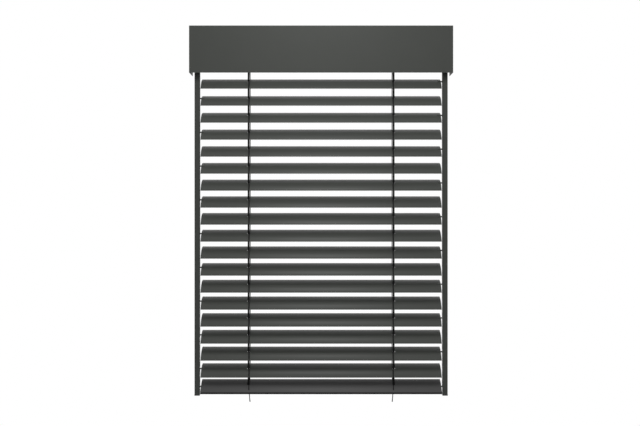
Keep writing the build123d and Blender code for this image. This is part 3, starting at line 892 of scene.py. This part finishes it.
@dataclass
class LiftTapes:
    """The lift tapes: a flat woven strip through the slats, from the drum to the bottom rail."""

    layout: Layout
    palette: Palette
    width: float = 8.0 * MM
    thickness: float = 0.4 * MM
    steps: int = 12
    core: float = 14.5 * MM
    inside: float = 6.0 * MM

    def stretch(self, name: str, top: tuple[float, float], low: tuple[float, float]) -> bpy.types.Object:
        """Makes a stretch of both tapes.

        Args:
            name: The piece's name.
            top: Y and Z of its top.
            low: Y and Z of its foot.

        Returns:
            The piece.
        """
        parts = []
        for x in both_sides(self.layout.tape_x):
            Bench.clear()
            bpy.ops.mesh.primitive_plane_add(size=1.0, location=(x, *top))
            tape = bpy.context.object
            tape.scale = (self.width, self.thickness, 1.0)
            Bench.settle(tape)
            bpy.ops.object.mode_set(mode="EDIT")
            bpy.ops.mesh.select_all(action="SELECT")
            step = Vector((0.0, low[0] - top[0], low[1] - top[1])) / self.steps
            for _ in range(self.steps):
                bpy.ops.mesh.extrude_region_move(TRANSFORM_OT_translate={"value": step})
            bpy.ops.object.mode_set(mode="OBJECT")
            parts.append(tape)
        piece = Bench.join(parts, name)
        Bench.finish(piece, self.palette.tape)
        return piece

    def build(self) -> list[bpy.types.Object]:
        """Makes the stretches, one from the drums down to the first slat and one below each slat.

        Returns:
            The pieces, from the top down.
        """
        lay = self.layout
        y, last = lay.pin_y, lay.slat_count
        top = self.stretch("lift_tape_lead", (y + self.core, lay.shaft_z), (y, lay.first_z))
        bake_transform(top)
        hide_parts("lift_tape_left", "lift_tape_right")
        pieces = [top]
        for index in range(1, last + 1):
            number = lay.number(index)
            high = lay.slat_z(index)
            low = lay.slat_z(index + 1) if index < last else lay.rail_z - self.inside
            below = f"pin_{lay.number(index + 1)}" if index < last else "rail_pins"
            piece = self.stretch(f"lift_tape_{number}", (y, high), (y, low))
            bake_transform(piece)
            pieces.append(piece)
        return pieces


@dataclass
class CordTails:
    """The short free ends of the cords below the bottom rail, each with a shrunk sleeve on its end."""

    layout: Layout
    palette: Palette
    diameter: float = 3.6 * MM
    gap: float = 0.3 * MM
    # The stretch below the exit in which a tail comes to hang free of the rail's turn
    bend: float = 22.0 * MM
    sleeve_length: float = 9.0 * MM
    sleeve_past_end: float = 0.5 * MM
    sleeve_radius: float = 2.15 * MM
    sleeve_corners: int = 16
    sleeve_smooth: float = 50.0
    # Places along the sleeve and its width there
    sleeve_shares: tuple[tuple[float, float], ...] = (
        (0.0, 0.80), (0.08, 0.94), (0.2, 0.97), (0.55, 0.93), (0.8, 1.06), (0.94, 1.08), (1.0, 0.82)
    )
    # The source's route, inwards and up from the exit, in millimetres
    route: tuple[tuple[float, float], ...] = (
        (0.0, 0.0), (0.2, -14.0), (0.8, -28.0), (1.8, -41.5), (3.2, -54.6)
    )

    def points(self, side: Side) -> list[Vector]:
        """The points of one tail's route.

        Args:
            side: The tail's side.

        Returns:
            The points, from the rail down.
        """
        lay = self.layout
        top = lay.rail_z - lay.rail_below_pin / math.cos(lay.tilt)
        top -= self.diameter / 2 * math.tan(lay.tilt) + self.gap
        return [
            Vector((side.value * (lay.tail_x - inward * MM), lay.pin_y, top + up * MM))
            for inward, up in self.route
        ]

    def curve(self, side: Side, name: str) -> bpy.types.Object:
        """Makes the tail's line as one smooth spline.

        Args:
            side: The tail's side.
            name: The line's name.

        Returns:
            The line.
        """
        points = self.points(side)
        line = bpy.data.curves.new(name, "CURVE")
        line.dimensions = "3D"
        line.resolution_u = 12
        spline = line.splines.new("NURBS")
        spline.points.add(len(points) - 1)
        for place, point in zip(spline.points, points):
            place.co = (*point, 1.0)
        spline.order_u = 3
        spline.use_endpoint_u = True
        obj = bpy.data.objects.new(name, line)
        bpy.context.scene.collection.objects.link(obj)
        return obj

    def sleeve(self, side: Side, end: Vector, along: Vector) -> bpy.types.Object:
        """Makes the sleeve that is shrunk over a tail's end.

        Args:
            side: The tail's side.
            end: The tail's last point.
            along: The direction of the tail there.

        Returns:
            The sleeve.
        """
        radius = self.sleeve_radius
        start = end - along * self.sleeve_length
        reach = self.sleeve_length + self.sleeve_past_end
        route = [start + along * reach * share for share, _ in self.sleeve_shares]
        sizes = [(radius * width, radius * width) for _, width in self.sleeve_shares]
        sleeve = Bench.draw(route, sizes, self.sleeve_corners, f"cord_sleeve_{side.name.lower()}")
        Bench.finish(sleeve, self.palette.plastic, angle=self.sleeve_smooth)
        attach(sleeve, "rail_pins")
        return sleeve

    def build(self) -> list[bpy.types.Object]:
        """Makes both tails and their sleeves.

        Returns:
            The pieces.
        """
        pieces = []
        for side in Side:
            word = side.name.lower()
            obj = self.curve(side, f"cord_tail_{word}_braid")
            plain = bpy.data.meshes.new_from_object(obj.evaluated_get(bpy.context.evaluated_depsgraph_get()))
            path = [vertex.co.copy() for vertex in plain.vertices]
            bpy.data.meshes.remove(plain)
            obj.data.bevel_depth = self.diameter / 2
            obj.data.bevel_resolution = 4
            obj.data.use_fill_caps = True
            Bench.pick(obj)
            bpy.ops.object.convert(target="MESH")
            obj = bpy.context.object
            Bench.finish(obj, self.palette.cord)
            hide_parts(f"cord_tail_{word}")
            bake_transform(obj)
            sleeve = self.sleeve(side, path[-1], (path[-1] - path[-2]).normalized())
            pieces += [obj, sleeve]
        return pieces


@dataclass
class SlatFittings:
    """The small pieces on a slat: an eyelet round each tape slot, and a rivet near each end."""

    layout: Layout
    palette: Palette
    sheet: float = 0.5 * MM
    slot_length: float = 12.0 * MM
    slot_width: float = 5.0 * MM
    rim: float = 1.9 * MM
    flange: float = 0.45 * MM
    eyelet_lift: float = 0.02 * MM
    eyelet_corners: int = 24
    rivet_radius: float = 2.2 * MM
    rivet_height: float = 0.9 * MM
    rivet_sunk: float = 0.15 * MM
    rivet_inset: float = 13.0 * MM
    rivet_chord: float = 15.0 * MM
    rivet_corners: int = 12
    # Heights on the rivet's dome and its width there
    dome_shares: tuple[tuple[float, float], ...] = ((0.0, 1.0), (0.35, 0.97), (0.75, 0.72), (1.0, 0.30))

    def eyelet(self, x: float) -> bpy.types.Object:
        """Makes an eyelet: a disc drawn out to an oval, inset by its rim, opened and raised.

        Args:
            x: The eyelet's place along the slat.

        Returns:
            The eyelet, as on a flat slat at the origin.
        """
        Bench.clear()
        radius = self.slot_width / 2 + self.rim
        bpy.ops.mesh.primitive_circle_add(
            vertices=self.eyelet_corners, radius=radius, fill_type="NGON", location=(0.0, 0.0, 0.0)
        )
        obj = bpy.context.object
        straight = (self.slot_length - self.slot_width) / 2
        for side in Side:
            Bench.edit(obj, obj.data.vertices, lambda corner: side.value * corner.co.x > TINY)
            bpy.ops.transform.translate(value=(side.value * straight, 0.0, 0.0))
        bpy.ops.mesh.select_all(action="SELECT")
        bpy.ops.mesh.inset(thickness=self.rim)
        bpy.ops.mesh.delete(type="FACE")
        bpy.ops.mesh.select_all(action="SELECT")
        bpy.ops.mesh.extrude_region_move(TRANSFORM_OT_translate={"value": (0.0, 0.0, self.flange)})
        bpy.ops.object.mode_set(mode="OBJECT")
        obj.location = (x, 0.0, self.sheet / 2 + self.eyelet_lift)
        Bench.settle(obj)
        return obj

    def rivet(self, x: float) -> bpy.types.Object:
        """Makes a rivet's low dome from a disc that is raised and drawn in three times.

        Args:
            x: The rivet's place along the slat.

        Returns:
            The rivet, as on a flat slat at the origin.
        """
        fall = self.layout.rise * (self.rivet_chord / self.layout.half_chord) ** 2
        foot = Vector((x, self.rivet_chord, self.sheet / 2 - fall - self.rivet_sunk))
        route = [foot + Vector((0.0, 0.0, self.rivet_height * rise)) for rise, _ in self.dome_shares]
        sizes = [(self.rivet_radius * width,) * 2 for _, width in self.dome_shares]
        return Bench.draw(route, sizes, self.rivet_corners, "rivet")

    def build(self) -> list[bpy.types.Object]:
        """Makes the fittings of the first slat and copies them down to the others.

        Returns:
            The pieces, one to a slat.
        """
        lay = self.layout
        parts = [self.eyelet(x) for x in both_sides(lay.tape_x)]
        parts += [self.rivet(x) for x in both_sides(lay.slat_end - self.rivet_inset)]
        first = Bench.join(parts, "slat_fittings_01")
        first.rotation_euler = (lay.tilt, 0.0, 0.0)
        first.location = (0.0, lay.pin_y, lay.first_z)
        Bench.settle(first)
        Bench.finish(first, self.palette.plastic)
        pieces = [first]
        for index in range(2, lay.slat_count + 1):
            shift = Vector((0.0, 0.0, -(index - 1) * lay.pitch))
            pieces.append(Bench.copy(first, f"slat_fittings_{lay.number(index)}", shift))
        for index, piece in enumerate(pieces, start=1):
            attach(piece, f"slat_{lay.number(index)}")
        return pieces


@dataclass
class RailFittings:
    """The moulded caps over the guide rails' lower ends, and the rivets of the rail brackets."""

    layout: Layout
    palette: Palette
    cap_height: float = 5.0 * MM
    cap_wall: float = 0.5 * MM
    cap_play: float = 0.03 * MM
    cap_round: float = 1.2 * MM
    bracket_heights: tuple[float, ...] = (-260.0 * MM, -1410.0 * MM)
    bracket_back: float = 14.0 * MM
    rivet_spread: float = 12.0 * MM
    rivet_inset: float = 1.5 * MM
    rivet_radius: float = 3.2 * MM
    rivet_height: float = 0.49 * MM
    rivet_sunk: float = 0.1 * MM
    rivet_round: float = 0.4 * MM
    rivet_corners: int = 16

    def cap(self, side: Side) -> bpy.types.Object:
        """Makes an end cap: a box opened at the top, with rounded corners and a wall.

        Args:
            side: The guide rail's side.

        Returns:
            The cap.
        """
        lay = self.layout
        Bench.clear()
        middle = side.value * (lay.rail_inner + lay.rail_outer) / 2
        foot = lay.rail_foot - self.cap_wall
        bpy.ops.mesh.primitive_cube_add(size=1.0, location=(middle, lay.pin_y, foot + self.cap_height / 2))
        obj = bpy.context.object
        obj.name = f"rail_end_cap_{side.name.lower()}"
        obj.data.name = obj.name
        obj.scale = (
            lay.rail_outer - lay.rail_inner + 2 * self.cap_wall,
            lay.rail_depth + 2 * self.cap_wall,
            self.cap_height,
        )
        Bench.settle(obj)
        top = max(obj.data.polygons, key=lambda face: face.normal.z).index
        Bench.edit(obj, obj.data.polygons, lambda face: face.index == top)
        bpy.ops.mesh.delete(type="FACE")
        bpy.ops.object.mode_set(mode="OBJECT")
        Bench.modify(obj, "BEVEL", width=self.cap_round, segments=3, limit_method="ANGLE")
        Bench.modify(obj, "SOLIDIFY", thickness=self.cap_wall - self.cap_play, offset=-1.0)
        Bench.finish(obj, self.palette.plastic)
        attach(obj, "frame")
        return obj

    def rivets(self) -> bpy.types.Object:
        """Makes the rivets that hold the brackets on the rails' backs.

        Returns:
            The rivets, as one piece.
        """
        lay = self.layout
        raised = Vector((0.0, self.rivet_height, 0.0))
        parts = []
        for x in both_sides((lay.rail_inner + lay.rail_outer) / 2 - self.rivet_inset):
            for height in self.bracket_heights:
                for up in both_sides(self.rivet_spread):
                    foot = Vector((x, lay.pin_y + self.bracket_back - self.rivet_sunk, height + up))
                    sizes = [(self.rivet_radius, self.rivet_radius)]
                    parts.append(Bench.draw([foot, foot + raised], sizes, self.rivet_corners, "rivet"))
        piece = Bench.join(parts, "rail_bracket_rivets")
        Bench.modify(piece, "BEVEL", width=self.rivet_round, segments=2, limit_method="ANGLE")
        Bench.finish(piece, self.palette.coat)
        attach(piece, "frame")
        return piece

    def build(self) -> list[bpy.types.Object]:
        """Makes the caps and the rivets."""
        return [*(self.cap(side) for side in Side), self.rivets()]


@dataclass
class CoverFittings:
    """The rivets that hold the cover panel on its end plates' top flanges."""

    layout: Layout
    palette: Palette
    top: float = 39.0 * MM
    x: float = 548.0 * MM
    rows: tuple[float, ...] = (-24.0 * MM, -62.0 * MM)
    radius: float = 3.4 * MM
    height: float = 1.1 * MM
    sunk: float = 0.1 * MM
    edge_round: float = 0.5 * MM
    corners: int = 16

    def build(self) -> list[bpy.types.Object]:
        """Makes the rivets, two to an end plate.

        Returns:
            The rivets, as one piece.
        """
        raised = Vector((0.0, 0.0, self.height))
        parts = []
        for x in both_sides(self.x):
            for y in self.rows:
                foot = Vector((x, y, self.top - self.sunk))
                sizes = [(self.radius, self.radius)]
                parts.append(Bench.draw([foot, foot + raised], sizes, self.corners, "rivet"))
        piece = Bench.join(parts, "cover_panel_rivets")
        Bench.modify(piece, "BEVEL", width=self.edge_round, segments=3, limit_method="ANGLE")
        Bench.finish(piece, self.palette.cover_coat)
        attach(piece, "frame")
        return [piece]


@dataclass
class RailBushings:
    """The bushings in the bottom rail's underside, through which the cord tails leave it."""

    layout: Layout
    palette: Palette
    radius: float = 4.2 * MM
    height: float = 2.6 * MM
    sunk: float = 0.05 * MM
    edge_round: float = 0.7 * MM
    corners: int = 20
    ring_shares: tuple[float, ...] = (0.0, 0.55, 0.85, 1.0)

    def build(self) -> list[bpy.types.Object]:
        """Makes both bushings, square to the rail's sloping underside.

        Returns:
            The bushings, as one piece.
        """
        lay = self.layout
        along = Vector((0.0, math.sin(lay.tilt), -math.cos(lay.tilt)))
        y, z = lay.tilted(-lay.rail_below_pin * math.tan(lay.tilt), self.sunk - lay.rail_below_pin)
        parts = []
        for x in both_sides(lay.tail_x):
            foot = Vector((x, lay.pin_y + y, lay.rail_z + z))
            route = [foot + along * self.height * share for share in self.ring_shares]
            parts.append(Bench.draw(route, [(self.radius, self.radius)], self.corners, "bushing"))
        piece = Bench.join(parts, "cord_tail_bushings")
        Bench.modify(piece, "BEVEL", width=self.edge_round, segments=3, limit_method="ANGLE")
        Bench.finish(piece, self.palette.plastic)
        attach(piece, "bottom_rail")
        return [piece]


@dataclass
class PaintedShadeRailLip:
    """A black strip on the bottom rail's front side: painted shade, a black line along its foot where that
    face turns down and lies in shade.
    """

    layout: Layout
    palette: Palette
    height: float = 9.6 * MM
    lift: float = 0.45 * MM
    thickness: float = 0.8 * MM
    sunk: float = 0.2 * MM
    end_gap: float = 0.5 * MM
    edge_round: float = 0.3 * MM

    def build(self) -> list[bpy.types.Object]:
        """Makes the painted-shade strip, flat and square to the rail's crown.

        Returns:
            The lip.
        """
        lay = self.layout
        out = lay.rail_width / 2 + self.thickness / 2 - self.sunk
        y, z = lay.tilted(-out, lay.rail_side / 2 - lay.rail_below_pin + self.lift)
        Bench.clear()
        bpy.ops.mesh.primitive_cube_add(
            size=1.0, location=(0.0, lay.pin_y + y, lay.rail_z + z), rotation=(lay.tilt, 0.0, 0.0)
        )
        lip = bpy.context.object
        lip.name = lip.data.name = "bottom_rail_lip"
        lip.scale = (2 * (lay.slat_end - self.end_gap), self.thickness, self.height)
        Bench.settle(lip)
        Bench.modify(lip, "BEVEL", width=self.edge_round, segments=2, limit_method="ANGLE")
        # The strip's black is painted shade on the rail's front side
        Bench.finish(lip, self.palette.painted_shade_rubber)
        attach(lip, "bottom_rail")
        return [lip]


@dataclass
class SolidFinishes:
    """The finishes of the solids that show as they are."""

    palette: Palette

    def finish_of(self, node: str) -> bpy.types.Material:
        """Finds the material of a node.

        Args:
            node: The node's name.

        Returns:
            The material, which is the cord's where no other fits.
        """
        pal = self.palette
        by_start = (
            ("slat_", pal.slat_coat),
            ("guide_pin_", pal.pin),
            ("bottom_rail_pins", pal.pin),
            ("bottom_rail_caps", pal.pin),
            ("bottom_rail", pal.rail_coat),
            ("guide_rail_", pal.coat),
            ("rail_lining_", pal.lining),
            ("rail_brackets", pal.coat),
            ("end_plate_", pal.cover_coat),
            ("cover_panel", pal.cover_coat),
            ("headrail", pal.steel),
            ("drive_shaft", pal.steel),
            ("drive_motor", pal.cast),
            ("winding_drum_", pal.plastic),
            ("cord_bearings", pal.plastic),
        )
        for start, material in by_start:
            if node.startswith(start):
                return material
        return pal.cord

    def apply(self, nodes: Mapping[str, bpy.types.Object]) -> None:
        """Gives every solid its material.

        Args:
            nodes: The solids by name.
        """
        for name, obj in nodes.items():
            obj.data.materials.clear()
            obj.data.materials.append(self.finish_of(name))
            LOG.info("solid %s: %s", name, obj.data.materials[0].name)


@dataclass
class Studio:
    """A white room with a pale floor, three soft lamps, and the photograph's view."""

    frame_width: int = 640
    focal_px: float = 829.0
    sensor_mm: float = 36.0
    axis_px: float = 321.1
    frame_up_px: float = 0.3
    eye: tuple[float, float, float] = (0.0, -3.581, -0.750)
    white: str = "#ffffff"
    floor_colour: str = "#f2f2f2"
    floor_roughness: float = 0.9
    floor_z: float = -2.6
    floor_radius: float = 3.5
    floor_corners: int = 96
    # The white room's light from above and from below, and the heights between which it changes
    dome: float = 0.80
    underside: float = 0.16
    horizon: tuple[float, float] = (-0.25, 0.05)
    key_power: float = 6.4
    key_place: tuple[float, float, float] = (0.0, -0.95, 0.50)
    key_aim: tuple[float, float, float] = (0.0, -0.05, -0.75)
    key_size: tuple[float, float] = (0.55, 0.35)
    fill_power: float = 14.0
    fill_place: tuple[float, float, float] = (0.0, 2.1, -1.75)
    fill_aim: tuple[float, float, float] = (0.0, 0.0, -0.75)
    fill_size: tuple[float, float] = (1.6, 1.0)
    spot_power: float = 18.0
    spot_place: tuple[float, float, float] = (0.0, -1.5, 1.2)
    spot_aim: tuple[float, float, float] = (0.0, -0.05, -1.70)
    spot_cone: float = math.radians(27.0)
    spot_radius: float = 0.16

    def build_camera(self) -> None:
        """Makes the camera at the photograph's place."""
        data = bpy.data.cameras.new("camera")
        data.sensor_fit = "HORIZONTAL"
        data.sensor_width = self.sensor_mm
        data.lens = self.focal_px * self.sensor_mm / self.frame_width
        data.shift_x = (self.frame_width / 2 - self.axis_px) / self.frame_width
        data.shift_y = -self.frame_up_px / self.frame_width
        camera = bpy.data.objects.new("camera", data)
        camera.location = self.eye
        camera.rotation_euler = (math.radians(90.0), 0.0, 0.0)
        bpy.context.scene.collection.objects.link(camera)
        bpy.context.scene.camera = camera

    @staticmethod
    def hang(data: bpy.types.Light, place: Sequence[float], aim: Sequence[float]) -> None:
        """Hangs a lamp, out of the camera's sight.

        Args:
            data: The lamp.
            place: Where it hangs.
            aim: The point that it shines at.
        """
        lamp = bpy.data.objects.new(data.name, data)
        lamp.location = place
        lamp.rotation_euler = (Vector(aim) - Vector(place)).to_track_quat("-Z", "Y").to_euler()
        lamp.visible_camera = False
        bpy.context.scene.collection.objects.link(lamp)

    def build_panels(self) -> None:
        """Makes the key light and the fill light behind the blind, which lights the slats' undersides."""
        for name, power, place, aim, size in (
            ("key_light", self.key_power, self.key_place, self.key_aim, self.key_size),
            ("fill_light", self.fill_power, self.fill_place, self.fill_aim, self.fill_size),
        ):
            data = bpy.data.lights.new(name, "AREA")
            data.shape = "RECTANGLE"
            data.size, data.size_y = size
            data.energy = power
            self.hang(data, place, aim)

    def build_spot(self) -> None:
        """Makes the soft spot that lifts the middle of the lower slats and the bottom rail."""
        data = bpy.data.lights.new("spot_light", "SPOT")
        data.energy = self.spot_power
        data.spot_size = self.spot_cone
        data.spot_blend = 1.0
        data.shadow_soft_size = self.spot_radius
        self.hang(data, self.spot_place, self.spot_aim)

    def build_world(self) -> None:
        """Makes the white surround: plain white where it is seen, and softer as light, less so from below."""
        world = bpy.data.worlds.new("white_room")
        bpy.context.scene.world = world
        world.use_nodes = True
        tree = world.node_tree
        tree.nodes.clear()
        path = add_node(tree, "ShaderNodeLightPath")
        seen = path.outputs["Is Camera Ray"]
        for ray in ("Is Glossy Ray", "Is Transmission Ray"):
            either = add_node(
                tree, "ShaderNodeMath", {"operation": "MAXIMUM"}, {0: seen, 1: path.outputs[ray]}
            )
            seen = either.outputs[0]
        way = add_node(tree, "ShaderNodeTexCoord").outputs["Generated"]
        height = add_node(tree, "ShaderNodeSeparateXYZ", inputs={0: way}).outputs["Z"]
        above = add_node(
            tree,
            "ShaderNodeMapRange",
            inputs={
                "Value": height,
                "From Min": self.horizon[0],
                "From Max": self.horizon[1],
                "To Min": self.underside,
                "To Max": self.dome,
            },
        )
        colour = linear(self.white)
        light = add_node(
            tree, "ShaderNodeBackground", inputs={"Color": colour, "Strength": above.outputs[0]}
        )
        plain = add_node(tree, "ShaderNodeBackground", inputs={"Color": colour, "Strength": 1.0})
        mix = add_node(
            tree, "ShaderNodeMixShader", inputs={0: seen, 1: light.outputs[0], 2: plain.outputs[0]}
        )
        add_node(tree, "ShaderNodeOutputWorld", inputs={"Surface": mix.outputs[0]})

    def build_floor(self) -> None:
        """Makes the pale floor, well below the blind."""
        Bench.clear()
        bpy.ops.mesh.primitive_circle_add(
            vertices=self.floor_corners,
            radius=self.floor_radius,
            fill_type="NGON",
            location=(0.0, 0.0, self.floor_z),
        )
        floor = bpy.context.object
        floor.name = "floor"
        # The floor throws no light back up at the slats, as the white room's underside already does
        floor.visible_diffuse = False
        material, shader, _ = start_material(
            "pale_floor", Roughness=self.floor_roughness, Base_Color=linear(self.floor_colour)
        )
        tree = material.node_tree
        # The floor has no underside, so the blind can be seen from below
        below = add_node(tree, "ShaderNodeNewGeometry").outputs["Backfacing"]
        clear = add_node(tree, "ShaderNodeBsdfTransparent")
        add_node(
            tree,
            "ShaderNodeMixShader",
            inputs={0: below, 1: shader.outputs[0], 2: clear.outputs[0]},
            outputs={0: tree.get_output_node("ALL").inputs["Surface"]},
        )
        floor.data.materials.append(material)

    def build(self) -> None:
        """Makes the camera, the lamps, the surround and the floor."""
        self.build_camera()
        self.build_panels()
        self.build_spot()
        self.build_world()
        self.build_floor()
        bpy.context.scene.view_settings.view_transform = "Standard"


def corners(bounds: tuple[Vector, Vector]) -> list[list[float]]:
    """A box's two corners as plain lists."""
    return [list(corner) for corner in bounds]


def main() -> None:
    """Dresses the blind, piece by piece, and lights it."""
    logging.basicConfig(level=logging.INFO, format="%(message)s")
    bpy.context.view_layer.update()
    layout, palette = Layout(), Palette()
    Studio().build()
    SolidFinishes(palette).apply(frame["nodes"])
    assemblies = (
        CordTails, LadderCords, LiftTapes, SlatFittings, RailFittings, CoverFittings, RailBushings, PaintedShadeRailLip
    )
    for assembly in assemblies:
        for piece in assembly(layout, palette).build():
            LOG.info("piece %s: %d faces", piece.name, len(piece.data.polygons))
    Bench.clear()
    bpy.context.view_layer.update()


if __name__ == "__main__":
    main()
